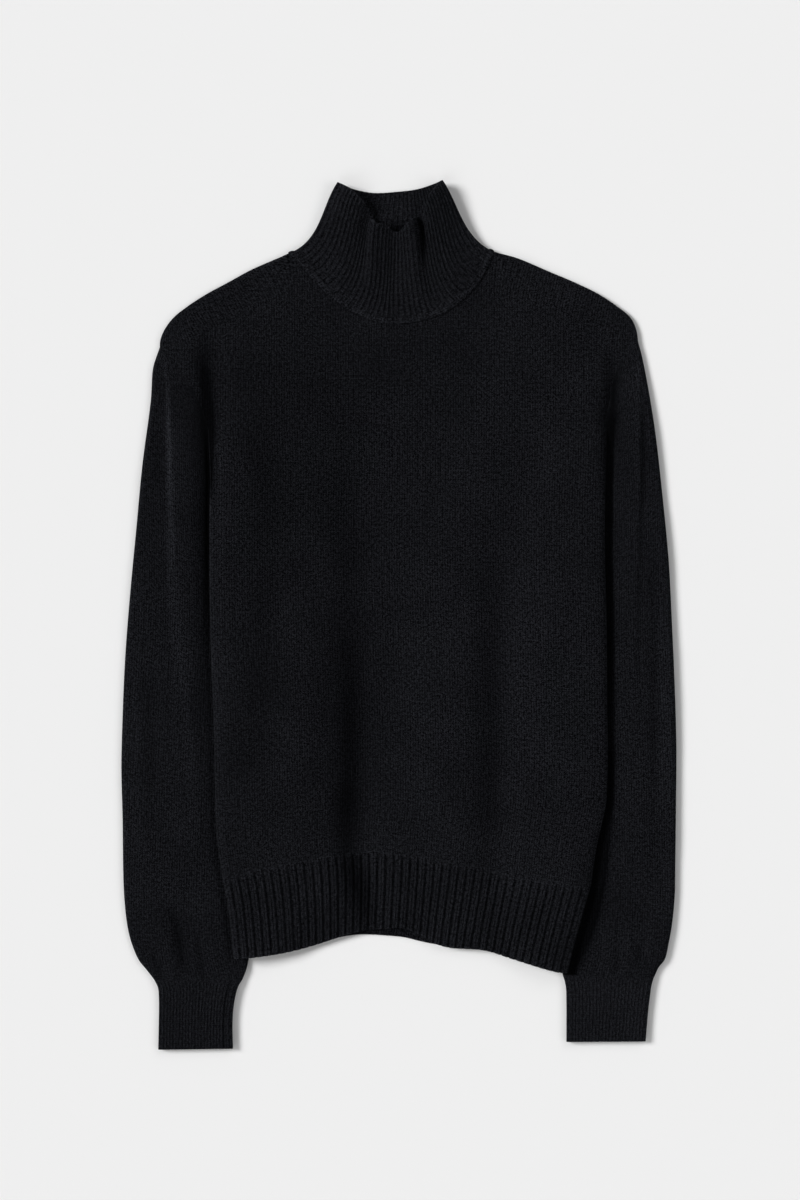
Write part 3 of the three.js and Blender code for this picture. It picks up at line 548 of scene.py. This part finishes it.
# The front's painted shade and highlight, with a painted highlight along the hem's lower edge
def front_hem_painted_shading(across, along, place):
    return front_panel_painted_shading(across, along, place) + FRONT_HEM_EDGE_HIGHLIGHT * (1 - ease(along, 0, 0.05))


front_hem = knit_piece(
    "front_hem", np.linspace(0, 1, HEM_RIBS * 12 + 1), np.linspace(0, 1, 37),
    hem_surface(HEM_EDGE_FRONT, front_height), hem_stitches, outer=front_hem_relief, rise=front_hem_painted_shading,
    wall=HEM_WALL, rims=["foot"])
finish_piece(front_hem, "hem_front", rib_knit)

# Sleeves. Each is a plain-knit panel closed into a tube by one seam and linked into the armhole. It lies
# flattened, its inner half tucked under the body, with a soft crease down its front and gathers at the cuff.
SLEEVE_WALL = 2.3
SLEEVE_ROLL = 5
SLEEVE_FLAT = 5.5
SLEEVE_RAMP = 24
SLEEVE_HEAD_SHARE = 0.12
ARMHOLE_JOIN = 0.028
UNDERARM_FREE = 24
HEM_FREE = 12
SLEEVE_WALE = 2.25
SLEEVE_COURSES = 330
# Painted shade where a sleeve lies under the body, at the armhole and further along
SHADE_AT_ARMHOLE = 4
SLEEVE_OUTER_RIGHT = [(-215.5, 241.5), (-218, 234.5), (-221.5, 223), (-223.5, 194), (-231, 136.5),
                      (-236.5, 79), (-242, 21), (-246.5, -36.5), (-249, -94), (-250, -137),
                      (-249, -180.5), (-247.5, -252.5), (-244, -283), (-240, -297.5), (-234, -311),
                      (-227.5, -319), (-222, -326)]
SLEEVE_OUTER_LEFT = [(215.5, 247), (219, 233.5), (224, 208.5), (231, 165), (237.5, 107.5), (243, 50),
                     (246, -7.5), (248.5, -65), (250, -120), (249.5, -180), (249, -223.5),
                     (248.5, -252.5), (246, -278.5), (243, -295.5), (239.5, -310), (234, -317),
                     (230.5, -324.5)]
# Along the sleeve: height of what shows at its highest, and how much lower its outer fold is
SLEEVE_SECTIONS = np.array([
    (0, 12, 2.5), (0.12, 13, 4.2), (0.25, 12.6, 3.6), (0.4, 11, 2), (0.55, 10, 0.8), (0.75, 9.4, 0.5),
    (0.92, 8.8, 0.4), (1, 7.6, 0)]).T
SLEEVE_RIDGE_RIGHT = [(-198, -170), (-201, -60), (-203.5, 0), (-205, 60), (-205.5, 167), (-206.5, 198.5),
                      (-209, 217), (-212.5, 232), (-216, 244)]
SLEEVE_RIDGE_LEFT = [(208, -170), (212, -60), (215, 40), (216.5, 120), (216.5, 167), (216.5, 205), (217, 232),
                     (217, 246)]
RIDGE_WIDTH = 4.5
# Creases, then painted shade (negative) and painted highlight, in the same columns as the front's
SLEEVE_CREASES = [
    ([(-233, 60), (-236, -40), (-235, -150), (-228, -250)], 1.0, 7),
    ([(-222, -40), (-224, -110), (-219, -190)], -1.0, 6),
    ([(-203.5, -262), (-198, -290), (-193, -322)], -1.8, 3.4),
    ([(-222, -300), (-215, -320), (-212, -330)], -1.4, 3.4),
    ([(-180, -285), (-177, -310), (-175, -327)], -1.3, 3.4),
    ([(-190, -275), (-186, -300), (-184, -325)], 1.1, 3.6),
    ([(-212, -290), (-206, -310), (-203, -328)], 1.1, 4),
    ([(226, 88), (230, 10), (230, -110), (229, -218)], -1.4, 5),
    ([(238, 20), (240, -90), (238, -200)], 0.9, 6),
    ([(219, -292), (217, -303), (216, -314)], -1.6, 3.4),
    ([(197, -300), (196, -315), (195, -326)], -1.4, 3.4),
    ([(208, -280), (207, -300), (206, -322)], 1.1, 4),
    ([(228, -270), (226, -295), (222, -318)], 1.1, 4),
    ([(180, -290), (179, -308), (178, -324)], -1.2, 3.6)]
SLEEVE_SHADES = [
    ([(-216.5, 250), (-213.5, 235), (-210.8, 224), (-208.4, 209), (-207.5, 188), (-207, 164), (-205.5, 136),
      (-204, 90), (-203, 50)], 7, 2),
    ([(-209, 205), (-206, 150), (-203.8, 60), (-197.5, -31), (-188.5, -121), (-184, -215)], 3, 5),
    ([(-219, 190), (-218.6, 150), (-217, 105)], -2.0, 5),
    ([(-243, -110), (-243, -190), (-237, -265)], 1.4, 14),
    ([(-204, -258), (-198, -285), (-191, -310), (-187, -326)], -2.4, 9),
    ([(216, 262), (216.5, 205), (215.5, 150), (214.5, 100)], 2.2, 4),
    ([(238, 60), (242, -20), (244, -110), (245, -200), (241, -280)], 2.2, 6),
    ([(-190, 240), (-183, 212), (-179, 185), (-177, 140), (-175, 50), (-177, -40), (-181, -110)], -3.2, 9.5),
    ([(199, 238), (194.5, 208), (193, 180), (193, 145)], -3.6, 5.5),
    ([(190, 150), (190, 40), (190, -60), (188, -140)], -2, 4.5),
    ([(188, -120), (184.5, -200), (179, -250), (172, -282), (164, -305), (156, -326)], -9, 6),
    ([(218, 195), (219.5, 150), (222, 100)], -1.8, 4.5)]


def read_row(keys, values, at):
    """A column of a table read at any key, smoothly from row to row."""
    row = np.clip(np.searchsorted(keys, at), 1, len(keys) - 1)
    slopes = np.gradient(values, keys)
    span, rise = keys[row] - keys[row - 1], values[row] - values[row - 1]
    t = np.clip((at - keys[row - 1]) / span, 0, 1)
    bend_a, bend_b = slopes[row - 1] * span - rise, rise - slopes[row] * span
    return values[row - 1] + rise * t + t * (1 - t) * (bend_a * (1 - t) + bend_b * t)


def tube_place(outer, inner, bend, top_height, roll):
    """A flattened tube: its ring runs over the top to the outer fold and comes back along the ground."""
    def surface(around, along):
        turn = around % 1
        on_top = turn <= 0.5
        across = np.where(on_top, 2 * turn, 2 - 2 * turn)
        fold_in, fold_out = inner(along), outer(along)
        place = between(fold_in, fold_out, across[..., None]) + bend(across, along)
        from_fold = np.minimum(across, 1 - across) * np.linalg.norm(fold_out - fold_in, axis=-1)
        turned = rounded(from_fold, roll)
        top = top_height(across, along, place)
        z = np.where(on_top, between(top / 2, top, turned), between(top / 2, 0, turned))
        return np.concatenate([place, z[..., None]], axis=-1)
    return surface


def towards_cuff(outer, inner, side):
    """Square to the line from a flattened tube's inner fold to its outer fold."""
    def lengthwise(along):
        chord = (outer(along) - inner(along)) * side
        return np.stack([-chord[..., 1], chord[..., 0], np.zeros_like(along)], axis=-1)
    return lengthwise


def outside_body(x, y):
    """How far outside the body's folded side a place lies."""
    right = np.array(HEM_SIDE_RIGHT + SIDE_RIGHT[1:]).T
    left = np.array(HEM_SIDE_LEFT + SIDE_LEFT[1:]).T
    return np.where(x < 0, np.interp(y, right[1], right[0]) - x, x - np.interp(y, left[1], left[0]))


def tube_shares(edge_share, edge_cells, top_cells, bottom_cells):
    top = dense_edges(top_cells, edge_share, edge_cells) / 2
    bottom = 1 - dense_edges(bottom_cells, edge_share, edge_cells)[::-1] / 2
    return np.concatenate([top, bottom[1:]])


def sleeve_surface(outer_points, inner_points, armhole_points, ridge_points, hem_corner, gap, under_body_shade):
    armhole, inner, outer = (smooth_line(points) for points in (armhole_points, inner_points, outer_points))
    ridge = np.array(ridge_points).T
    underarm = inner_points[0][1]

    def bend(across, along):
        straight = between(inner(0.0), outer(0.0), across[..., None])
        return (armhole(across) - straight) * (1 - ease(along, 0, 0.35))[..., None]

    def freedom(x, y, along):
        """How far a sleeve has come out from under the body, from 0 to 1. At the armhole it is joined on."""
        free = np.maximum(rounded(outside_body(x, y) - gap, SLEEVE_RAMP),
                          ease(y, underarm, underarm + UNDERARM_FREE))
        free = np.maximum(free, 1 - ease(along, 0, ARMHOLE_JOIN))
        return np.maximum(free, 1 - ease(y, hem_corner - HEM_FREE, hem_corner))

    def top_height(across, along, place):
        crown, brim = (read_row(SLEEVE_SECTIONS[0], column, along) for column in SLEEVE_SECTIONS[1:])
        x, y = place.T
        head = front_height(x, y, NOT_NEAR, NOT_NEAR)
        creased = crease_rise(SLEEVE_CREASES, x, y) * rounded(np.minimum(across, 1 - across), 0.05)
        past_ridge = np.abs(x) - np.abs(np.interp(y, ridge[1], ridge[0]))
        beside = crown - brim * ease(past_ridge, -1, RIDGE_WIDTH) + unevenness(x, y)
        return between(SLEEVE_FLAT, between(head, beside, ease(along, 0, SLEEVE_HEAD_SHARE)) + creased,
                       freedom(x, y, along))

    # Painted shade and highlight: the front's near the armhole, the sleeve's creases and shade rows, and
    # painted shade where it lies under the body
    def rise(across, along, place):
        x, y = place[:, :2].T
        head = painted_front_shading(x, y) * (1 - ease(along, 0, SLEEVE_HEAD_SHARE))
        shade = between(SHADE_AT_ARMHOLE, under_body_shade, ease(along, 0.2, 0.5))
        shaded = shade * (1 - freedom(x, y, along)) ** 2
        return head + crease_rise(SLEEVE_CREASES + SLEEVE_SHADES, x, y) - shaded
    return tube_place(outer, inner, bend, top_height, SLEEVE_ROLL), rise


def sleeve_stitches(outer_points, inner_points):
    """Wales of one width, counted from the middle of the upper side; there are fewer towards the cuff."""
    outer, inner = smooth_line(outer_points), smooth_line(inner_points)

    def stitches(place, around, along):
        wales = np.linalg.norm(outer(along) - inner(along), axis=-1) / SLEEVE_WALE
        return np.stack([(2 * around - 0.5) * wales, along * -SLEEVE_COURSES], axis=-1)
    return stitches


for name, node, outer_points, inner_points, armhole, ridge, hem_corner, gap, under_body_shade, side in [
        ("sleeve_right_tube", "sleeve_right", SLEEVE_OUTER_RIGHT, SLEEVE_INNER_RIGHT, ARMHOLE_RIGHT,
         SLEEVE_RIDGE_RIGHT, HEM_SIDE_RIGHT[0][1], 3, 0.5, 1),
        ("sleeve_left_tube", "sleeve_left", SLEEVE_OUTER_LEFT, SLEEVE_INNER_LEFT, ARMHOLE_LEFT,
         SLEEVE_RIDGE_LEFT, HEM_SIDE_LEFT[0][1], 7, 4, -1)]:
    surface, rise = sleeve_surface(outer_points, inner_points, armhole, ridge, hem_corner, gap, under_body_shade)
    sleeve = knit_piece(
        name, tube_shares(0.04, 7, 90, 22), np.linspace(0, 1, 241), surface,
        sleeve_stitches(outer_points, inner_points), rise=rise, closed=True, side=side,
        wall=SLEEVE_WALL,
        lengthwise=towards_cuff(smooth_line(outer_points), smooth_line(inner_points), side))
    finish_piece(sleeve, node, plain_knit)

# Cuffs. Fine one-and-one rib that draws each sleeve in to the wrist, knitted on in one piece with it.
# The sleeve's seam runs on down the wearer's right cuff, close to its inner edge.
CUFF_RIBS = 24
CUFF_WALL = 2.2
CUFF_RIB_HEIGHT = 0.95
CUFF_GROOVE = 0.35
CUFF_STITCHES_HIGH = 36
CUFF_SEAM_REACH = 0.014
CUFF_SEAM_SHADE = 3.5
CUFF_ROLL = 4
CUFF_TOP = 7.6
CUFF_OUTER_RIGHT = [(-222, -326), (-217.5, -334.5), (-216.5, -342.5), (-217, -391)]
CUFF_INNER_RIGHT = [(-141, -328), (-144.5, -334.5), (-147, -343.5), (-149, -357), (-149.5, -373),
                    (-149, -390)]
CUFF_OUTER_LEFT = [(230.5, -324.5), (228, -332.5), (226.5, -342.5), (225, -355), (222.5, -383.5)]
CUFF_INNER_LEFT = [(147.5, -323.5), (150, -334.5), (150.5, -349), (150.5, -384)]
CUFF_SEAM_SHARE = 0.118


def fine_rib(count):
    """One-and-one rib: 0 in its sharp groove and 1 on its round ridge."""
    return np.abs(np.sin(np.pi * count)) ** 0.8


def cuff_stitches(place, around, along):
    return np.stack([around * CUFF_RIBS * 4 + 0.5, along * -CUFF_STITCHES_HIGH], axis=-1)


def cuff_surface(outer_points, inner_points):
    outer, inner = smooth_line(outer_points), smooth_line(inner_points)

    def top_height(across, along, place):
        drawn_in = 1 - ease(along, 0, 0.35)
        return CUFF_TOP + unevenness(*place.T) + crease_rise(SLEEVE_CREASES, *place.T) * drawn_in
    return tube_place(outer, inner, lambda across, along: 0, top_height, CUFF_ROLL)


for name, node, outer_points, inner_points, side, seam_depth, lighter in [
        ("cuff_right_rib", "cuff_right", CUFF_OUTER_RIGHT, CUFF_INNER_RIGHT, 1, 0.9, 0.2),
        ("cuff_left_rib", "cuff_left", CUFF_OUTER_LEFT, CUFF_INNER_LEFT, -1, 0, 1.5)]:
    def seam_groove(around):
        return seam_depth * np.exp(-((around * 2 - CUFF_SEAM_SHARE) / CUFF_SEAM_REACH) ** 2)

    def cuff_relief(around, along, place):
        ribs = CUFF_RIB_HEIGHT * fine_rib(around * 2 * CUFF_RIBS) - CUFF_GROOVE
        return (np.where(around < 0.5, ribs, ribs - 0.6) - seam_groove(around)) * ease(along, 0, 0.09)

    # Painted shade in the seam's groove, and each cuff drawn lighter by its own amount away from the sleeve
    def cuff_rise(around, along, place):
        return lighter * ease(along, 0, 0.3) - CUFF_SEAM_SHADE * seam_groove(around)

    cuff = knit_piece(name, np.linspace(0, 1, CUFF_RIBS * 12 + 1), np.linspace(0, 1, 31),
                      cuff_surface(outer_points, inner_points), cuff_stitches, outer=cuff_relief,
                      rise=cuff_rise, closed=True, side=side, wall=CUFF_WALL, rims=["head"],
                      lengthwise=towards_cuff(smooth_line(outer_points), smooth_line(inner_points), side))
    finish_piece(cuff, node, rib_knit)

# Collar. One tube of one-and-one rib, a single layer linked round the neckline, that stands up and narrows
# like a funnel. Its front edge sinks in two soft pleats and shows the ribbed inside of its back.
COLLAR_FRONT_RIBS = 42
COLLAR_BACK_RIBS = 28
COLLAR_RIBS = COLLAR_FRONT_RIBS + COLLAR_BACK_RIBS
COLLAR_FRONT_SHARE = COLLAR_FRONT_RIBS / COLLAR_RIBS
COLLAR_WALL = 2.0
COLLAR_RIB_HEIGHT = 1.6
COLLAR_GROOVE = 0.6
COLLAR_STITCHES_HIGH = 46
NECK_SHADE = -5.5
COLLAR_SEAM_TOP = 8
COLLAR_SEAM_LAP = 1.7
LINKED_STITCHES = 78
COLLAR_SIDE_MIDDLE = 4.4
COLLAR_BASE_ROLL = 6
COLLAR_HOLLOW_RIGHT = 8
COLLAR_HOLLOW_LEFT = 6.5
COLLAR_HOLLOW_SLANT = (0.83, 0.56)
NECK_ARC = 200
NECK_CENTRE = (-7, 330)
# Upper edge: rib, then place, counted from the wearer's right tip round the front and back again
COLLAR_RIM = np.array([
    (0, -55.5, 390, 11), (2.2, -48.5, 386.5, 16.5), (4.6, -41.5, 382, 19), (8, -32.5, 373, 18.5),
    (10.5, -27, 365, 15.5), (12.3, -25, 358.5, 14.5), (14.2, -22.5, 352.5, 19), (17.5, -11.5, 351.5, 15.5),
    (20, -5.5, 346, 14), (22, 0, 345, 15.5), (24.4, 5.5, 350.5, 19), (26.6, 12, 356, 21.5),
    (28.6, 17, 359, 13),
    (30.8, 20.5, 366, 16), (34, 26, 376, 20.5), (38, 33.5, 385.5, 19), (42, 38, 391, 12.5),
    (43.5, 34.5, 390, 5), (46, 27.5, 387.5, 1.2), (50, 18, 384.5, 0), (56, 0, 382, 0), (62, -25, 381, 0),
    (66, -41.5, 384.5, 1), (68.6, -51, 388, 4.6), (70, -55.5, 390, 11)]).T
# Pleats that deepen towards the edge: rib, depth, how many ribs it reaches, and where it starts
COLLAR_PLEATS = [
    (10.8, -5.5, 2.8, 0.15), (14.3, 1.2, 1.6, 0.3), (28.9, -7, 1.4, 0.55), (26, 1.6, 1.4, 0.2),
    (21, -2, 3, 0.1)]


def collar_seam(turn):
    """The neckline where the collar is linked on, once round from the wearer's right."""
    on_front = turn <= COLLAR_FRONT_SHARE
    past_front = (turn - COLLAR_FRONT_SHARE) / (1 - COLLAR_FRONT_SHARE)
    share = np.where(on_front, turn / COLLAR_FRONT_SHARE, past_front)
    place = np.where(on_front[..., None], smooth_line(NECK_FRONT)(share), smooth_line(NECK_BACK[::-1])(share))
    outwards = place - np.array(NECK_CENTRE)
    place = place + COLLAR_SEAM_LAP * outwards / np.linalg.norm(outwards, axis=-1, keepdims=True)
    turned = rounded(np.minimum(share, 1 - share) * NECK_ARC, COLLAR_BASE_ROLL)
    z = between(COLLAR_SIDE_MIDDLE, np.where(on_front, COLLAR_SEAM_TOP, 0), turned)
    return np.concatenate([place, z[..., None]], axis=-1)


def collar_surface(around, along):
    turn = around % 1
    base, rib = collar_seam(turn), turn * COLLAR_RIBS
    rim_x, rim_y, rim_z = (read_row(COLLAR_RIM[0], column, rib) for column in COLLAR_RIM[1:])
    on_front = turn <= COLLAR_FRONT_SHARE
    share = np.where(on_front, turn / COLLAR_FRONT_SHARE, (1 - turn) / (1 - COLLAR_FRONT_SHARE))
    sideways = 2 * share - 1
    hollow = np.where(sideways < 0, COLLAR_HOLLOW_RIGHT, COLLAR_HOLLOW_LEFT) * np.abs(sideways) ** 1.5
    swing = along * (1 - along) ** 2
    chord = np.stack([rim_x, rim_y], axis=-1) - base[..., :2]
    seam = collar_seam((turn + 0.002) % 1)[..., :2] - collar_seam((turn - 0.002) % 1)[..., :2]
    upright = np.stack([-seam[..., 1], seam[..., 0]], axis=-1)
    upright *= (np.linalg.norm(chord, axis=-1) / np.linalg.norm(seam, axis=-1))[..., None]
    square = 1.6 * (upright - chord) * (on_front * (1 - np.abs(sideways) ** 3) * swing)[..., None]
    place = base[..., :2] + chord * along[..., None] + square
    x = place[..., 0] - np.sign(sideways) * COLLAR_HOLLOW_SLANT[0] * hollow * 27 / 4 * swing
    y = place[..., 1] - COLLAR_HOLLOW_SLANT[1] * hollow * 27 / 4 * swing
    z = between(base[..., 2], np.maximum(rim_z, 0), along ** 1.2)
    for pleat, depth, reach, foot in COLLAR_PLEATS:
        z = z + depth * np.exp(-((rib - pleat) / reach) ** 2) * ease(along, foot, 1)
    return np.stack([x, y, z], axis=-1)


def collar_stitches(place, around, along):
    return np.stack([around * COLLAR_RIBS * 2 + 0.5, along * COLLAR_STITCHES_HIGH], axis=-1)


def collar_outer(around, along, place):
    ribs = COLLAR_RIB_HEIGHT * fine_rib(around * COLLAR_RIBS) - COLLAR_GROOVE
    resting = 1 - ease(place[:, 2], 0.5, 4)
    linked = 1 + 0.5 * fine_rib(around / COLLAR_FRONT_SHARE * LINKED_STITCHES) * (1 - resting)
    return between(linked * ease(along, -0.02, 0.02), ribs, ease(along, 0.035, 0.06)) - resting


def collar_inner(around, along, place):
    return between(-1.1, 0.9 * fine_rib(around * COLLAR_RIBS + 0.5) - 0.2, ease(along, 0.02, 0.08))


def collar_painted_shading(around, along, place):
    """Painted shade down inside the neck and in the deep pleat, painted highlight along the front's edge and
    on the linked row of stitches.
    """
    front = (around % 1) <= COLLAR_FRONT_SHARE
    inside = NECK_SHADE * (1 - ease(along, 0.54, 0.7))
    edges = 1.6 * ease(along, 0.95, 0.99) + 1.8 * (1 - ease(along, 0.03, 0.05))
    pleat = NECK_SHADE * np.exp(-((around * COLLAR_RIBS - 29) / 1.3) ** 2) * ease(along, 0.45, 0.75)
    return np.where(front, edges + pleat, inside)


collar = knit_piece(
    "collar_rib", np.linspace(0, 1, COLLAR_RIBS * 8 + 1), np.linspace(0, 1, 49), collar_surface,
    collar_stitches, outer=collar_outer, inner=collar_inner, rise=collar_painted_shading, closed=True,
    wall=COLLAR_WALL, rims=["foot", "head"])
finish_piece(collar, "collar", rib_knit)

# Surface, light and camera. The sweater lies on a plain pale floor, seen square from above, with a broad soft
# light from the upper left and even light all round.
FLOOR_TONE = 0.8
EVEN_LIGHT = 0.14
PHOTO_SCALE = 0.9
PHOTO_HEIGHT = 1200
CAMERA_HEIGHT = 4050
SCALE_HEIGHT = 8
PHOTO_CENTRE = (1.0, 13.95)

ground = bmesh.new()
bmesh.ops.create_grid(ground, x_segments=1, y_segments=1, size=4)
for vert in ground.verts:
    vert.co.z = -0.1 * MM
floor_mesh = bpy.data.meshes.new("floor")
ground.to_mesh(floor_mesh)
ground.free()
floor = bpy.data.objects.new("floor", floor_mesh)
bpy.context.scene.collection.objects.link(floor)
floor_paint = bpy.data.materials.new("floor_paint")
floor_paint.use_nodes = True
floor_shader = floor_paint.node_tree.nodes["Principled BSDF"]
floor_shader.inputs["Base Color"].default_value = (FLOOR_TONE, FLOOR_TONE, FLOOR_TONE, 1)
floor_shader.inputs["Roughness"].default_value = 1
floor_shader.inputs["Specular IOR Level"].default_value = 0
floor_mesh.materials.append(floor_paint)

world = bpy.data.worlds.new("studio")
world.use_nodes = True
world.node_tree.nodes["Background"].inputs["Color"].default_value = (1, 1, 1, 1)
world.node_tree.nodes["Background"].inputs["Strength"].default_value = EVEN_LIGHT
bpy.context.scene.world = world
bpy.context.scene.view_settings.view_transform = "Standard"

# Soft lights: compass angle that each comes from (0 at +X, 90 at +Y), angle from straight above, how much of
# the floor's light it gives, and how broad it is
for name, compass, tilt, share, breadth in [
        ("key", 163, 48, 0.62, 22), ("fill_right", -18, 38, 0.12, 36), ("fill_top", 62, 42, 0.1, 36),
        ("fill_foot", 236, 42, 0.1, 36)]:
    light = bpy.data.lights.new(name, "SUN")
    light.energy = share * math.pi / math.cos(math.radians(tilt))
    light.angle = math.radians(breadth)
    light_object = bpy.data.objects.new(name, light)
    light_object.rotation_euler = (0, math.radians(tilt), math.radians(compass))
    bpy.context.scene.collection.objects.link(light_object)

lens = bpy.data.cameras.new("camera")
lens.sensor_width = 36
lens.lens = lens.sensor_width * (CAMERA_HEIGHT - SCALE_HEIGHT) / (PHOTO_SCALE * PHOTO_HEIGHT)
lens.clip_end = 20
camera = bpy.data.objects.new("camera", lens)
camera.location = (PHOTO_CENTRE[0] * MM, PHOTO_CENTRE[1] * MM, CAMERA_HEIGHT * MM)
bpy.context.scene.collection.objects.link(camera)
bpy.context.scene.camera = camera
